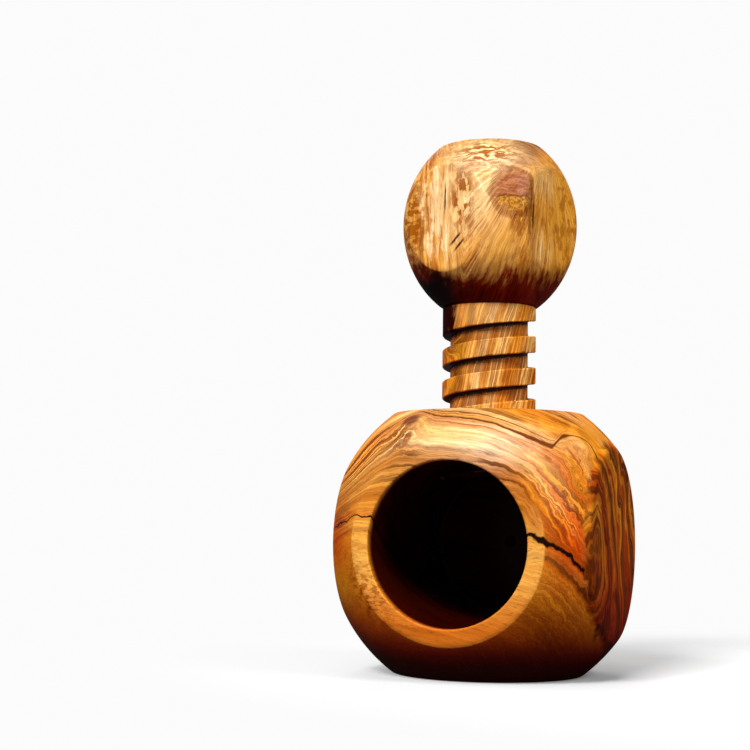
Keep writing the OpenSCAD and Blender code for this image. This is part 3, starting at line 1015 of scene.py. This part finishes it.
class NUTCRACKER_OT_block(bpy.types.Operator):
    """Make the block: a ball with six flats, a nut chamber and a threaded hole"""
    bl_idname = "nutcracker.block"
    bl_label = "Block"

    def execute(self, context):
        sizes, screw = context.scene.nutcracker_block, context.scene.nutcracker_screw
        block = add_object("Block", block_mesh(sizes))
        bore_threads(block, sizes, screw)
        block.data.materials.append(block_wood(context.scene.nutcracker_wood))
        finish_piece(block, 30 * DEG, "block", ["block"])
        return {"FINISHED"}


def groove_wear(screw, angles):
    """Rounding of the groove's lower and upper shoulder at each angle: uneven products of sines, and chips
    on the upper one, the square of three sines' product, where the ridge's lower edge has broken away."""
    slow = 0.5 + 0.5 * np.sin(1.7 * angles + 0.6) * np.sin(0.9 * angles)
    chip = np.maximum(0, np.sin(7.3 * angles) * np.sin(11.9 * angles + 1.0) * np.sin(4.1 * angles)) ** 2
    return screw.wear * (0.8 + 0.5 * slow), screw.wear * (0.7 + 0.5 * slow + 1.4 * chip)


def screw_mesh(screw, dowel, tip, top):
    """The plain rod that the screw is cut from, with a chamfered tip and the dowel's blind hole on top."""
    radius, chamfer, edge = screw.diameter / 2, 1.2 * MM, 0.25 * MM
    hole = dowel.diameter / 2 + dowel.glue_gap
    hole_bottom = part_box("joining_dowel")[0][2] - dowel.end_gap
    profile = [(0, tip)] + straight((0, tip), (radius - chamfer, tip), 6)
    profile += straight(profile[-1], (radius, tip + chamfer), 2)
    profile += straight(profile[-1], (radius, top - edge), 48)
    profile += straight(profile[-1], (radius - edge, top), 2)
    profile += straight(profile[-1], (hole, top), 4)
    profile += straight(profile[-1], (hole, hole_bottom), 8)
    profile += straight(profile[-1], (0, hole_bottom), 2)
    return mesh_from_grids("screw", [bored_grid("+Z", profile)])


class NUTCRACKER_OT_screw(bpy.types.Operator):
    """Make the screw: a rod with a square right-hand groove that runs out under the knob"""
    bl_idname = "nutcracker.screw"
    bl_label = "Screw"

    def execute(self, context):
        screw, dowel = context.scene.nutcracker_screw, context.scene.nutcracker_dowel
        low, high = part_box("screw")
        rod = add_object("Screw", screw_mesh(screw, dowel, low[2], high[2]))
        radius = screw.diameter / 2
        rise = screw.pitch / (2 * math.pi)
        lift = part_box("block")[1][2] + screw.groove_start
        first = (low[2] - screw.groove_width - lift) / rise
        last = (high[2] - screw.collar - lift) / rise
        step, run_out, clear, reach = 2.5 * DEG, 30 * DEG, 0.4 * MM, 1 * MM
        angles = np.linspace(first, last, int((last - first) / step))
        raised = (screw.groove_depth + clear) * np.maximum(0, 1 - (last - angles) / run_out)
        low_wear, high_wear = groove_wear(screw, angles)
        section = groove_section(radius - screw.groove_depth, radius, screw.groove_width,
                                 low_wear, high_wear, reach, raised)
        cut_away(rod, mesh_from_grids("groove", [wound_grid(*section, angles, rise, lift)]))
        rod.data.materials.append(screw_wood(context.scene.nutcracker_wood, screw, lift))
        finish_piece(rod, 32 * DEG, "screw", ["screw"])
        return {"FINISHED"}


def knob_mesh(knob, dowel, foot_z):
    """An egg shape with a flat top, a flat foot and four side flats: a cut ball whose height is stretched,
    with the dowel's blind hole up into its foot."""
    radius = knob.diameter / 2
    stretch = knob.half_height / radius
    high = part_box("knob")[1][2]
    foot = high - knob.crown - foot_z
    heights = {face: knob.flats / 2 for face in ("+X", "-X", "+Y", "-Y")}
    heights["+Z"], heights["-Z"] = knob.crown / stretch, foot / stretch
    hole = dowel.diameter / 2 + dowel.glue_gap
    hole_top = (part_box("joining_dowel")[1][2] + dowel.end_gap - foot_z) / stretch
    inner = math.atan(hole / heights["-Z"])
    grids = [face_patch(face, radius, heights, knob.softness,
                        inner if face == "-Z" else 0.0) for face in FACES]
    base = heights["-Z"]
    bore = [(hole, base)] + straight((hole, base), (hole, base - hole_top), 8)
    bore += straight(bore[-1], (0, base - hole_top), 2)
    grids.append(bored_grid("-Z", bore))
    mesh = mesh_from_grids("knob", grids)
    mesh.transform(Matrix.Translation((0, 0, high - knob.crown)) @ Matrix.Rotation(knob.turn, 4, "Z")
                   @ Matrix.Diagonal((1, 1, stretch, 1)))
    return mesh


class NUTCRACKER_OT_knob(bpy.types.Operator):
    """Make the knob: an egg shape with a flat top and four side flats"""
    bl_idname = "nutcracker.knob"
    bl_label = "Knob"

    def execute(self, context):
        sizes, dowel = context.scene.nutcracker_knob, context.scene.nutcracker_dowel
        knob = add_object("Knob", knob_mesh(sizes, dowel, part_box("knob")[0][2]))
        knob.data.materials.append(knob_wood(context.scene.nutcracker_wood, sizes))
        finish_piece(knob, 32 * DEG, "screw", ["knob"])
        return {"FINISHED"}


class NUTCRACKER_OT_dowel(bpy.types.Operator):
    """Give the joining dowel inside the screw and knob its wood: its shape is the frame's own"""
    bl_idname = "nutcracker.dowel"
    bl_label = "Joining dowel"

    def execute(self, context):
        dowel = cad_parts["joining_dowel"]
        dowel.data.materials.clear()
        dowel.data.materials.append(dowel_wood(context.scene.nutcracker_wood))
        return {"FINISHED"}


# ---------------------------------------------------------------- stage

# each lamp's name, azimuth and elevation in degrees, distance and size in metres, and power in watts
LAMPS = [
    ("Overhead softbox", -10, 74, 0.9, (0.5, 0.5), 2.7),
    ("Front window", -8, 42, 1.0, (0.3, 0.3), 14.5),
    ("Strip light", 74, 36, 1.0, (0.4, 0.6), 7.5),
    ("Back fill", 205, 38, 1.2, (0.7, 0.7), 8.0),
]


class NUTCRACKER_OT_stage(bpy.types.Operator):
    """Make the floor, the lamps and the camera"""
    bl_idname = "nutcracker.stage"
    bl_label = "Stage"

    def execute(self, context):
        scene = context.scene
        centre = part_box("block")[0][2] + node_span("block", 2) / 2
        disc = [(0, 0), (3, 0)]
        floor = add_object("Floor", mesh_from_grids("floor", [bored_grid("+Z", disc)]))
        floor.data.materials.append(floor_finish())
        aim = Vector((0, 0, centre))
        for name, azimuth, elevation, away, size, energy in LAMPS:
            lamp = bpy.data.lights.new(name, "AREA")
            lamp.shape = "RECTANGLE"
            lamp.energy = energy
            lamp.size, lamp.size_y = size
            head = bpy.data.objects.new(name, lamp)
            az, el = azimuth * DEG, elevation * DEG
            way = Vector((math.sin(az) * math.cos(el), -math.cos(az) * math.cos(el), math.sin(el)))
            head.location = aim + away * way
            head.rotation_euler = (aim - head.location).to_track_quat("-Z", "Y").to_euler()
            scene.collection.objects.link(head)
        scene.world = world_light()
        scene.view_settings.view_transform = "Standard"
        camera = bpy.data.objects.new("Camera", bpy.data.cameras.new("Camera"))
        scene.collection.objects.link(camera)
        camera.data.lens = 75.55
        azimuth, away, eye = 17.65 * DEG, 0.4189, centre + 6.9 * MM
        yaw, pitch, roll = 4.154 * DEG, 5.082 * DEG, 0.728 * DEG
        camera.location = (away * math.sin(azimuth), -away * math.cos(azimuth), eye)
        camera.rotation_mode = "XYZ"
        look = Matrix.Rotation(azimuth + yaw, 4, "Z") @ Matrix.Rotation(math.pi / 2 + pitch, 4, "X") \
            @ Matrix.Rotation(roll, 4, "Z")
        camera.rotation_euler = look.to_euler()
        scene.camera = camera
        return {"FINISHED"}


class NUTCRACKER_PT_panel(bpy.types.Panel):
    """Lists the pieces of the nutcracker"""
    bl_idname = "NUTCRACKER_PT_panel"
    bl_label = "Nutcracker"
    bl_space_type = "VIEW_3D"
    bl_region_type = "UI"
    bl_category = "Nutcracker"

    def draw(self, context):
        for name in ("block", "screw", "knob", "dowel", "stage"):
            self.layout.operator("nutcracker." + name)


GROUPS = {"nutcracker_block": BlockSizes, "nutcracker_screw": ScrewSizes, "nutcracker_knob": KnobSizes,
          "nutcracker_dowel": DowelSizes, "nutcracker_wood": WoodColours}
CLASSES = (*GROUPS.values(), NUTCRACKER_OT_block, NUTCRACKER_OT_screw, NUTCRACKER_OT_knob,
           NUTCRACKER_OT_dowel, NUTCRACKER_OT_stage, NUTCRACKER_PT_panel)


def register():
    for cls in CLASSES:
        bpy.utils.register_class(cls)
    for name, group in GROUPS.items():
        setattr(bpy.types.Scene, name, PointerProperty(type=group))


def unregister():
    for name in GROUPS:
        delattr(bpy.types.Scene, name)
    for cls in reversed(CLASSES):
        bpy.utils.unregister_class(cls)


def main():
    register()
    bpy.ops.nutcracker.block()
    bpy.ops.nutcracker.screw()
    bpy.ops.nutcracker.knob()
    bpy.ops.nutcracker.dowel()
    bpy.ops.nutcracker.stage()


if __name__ == "__main__":
    main()
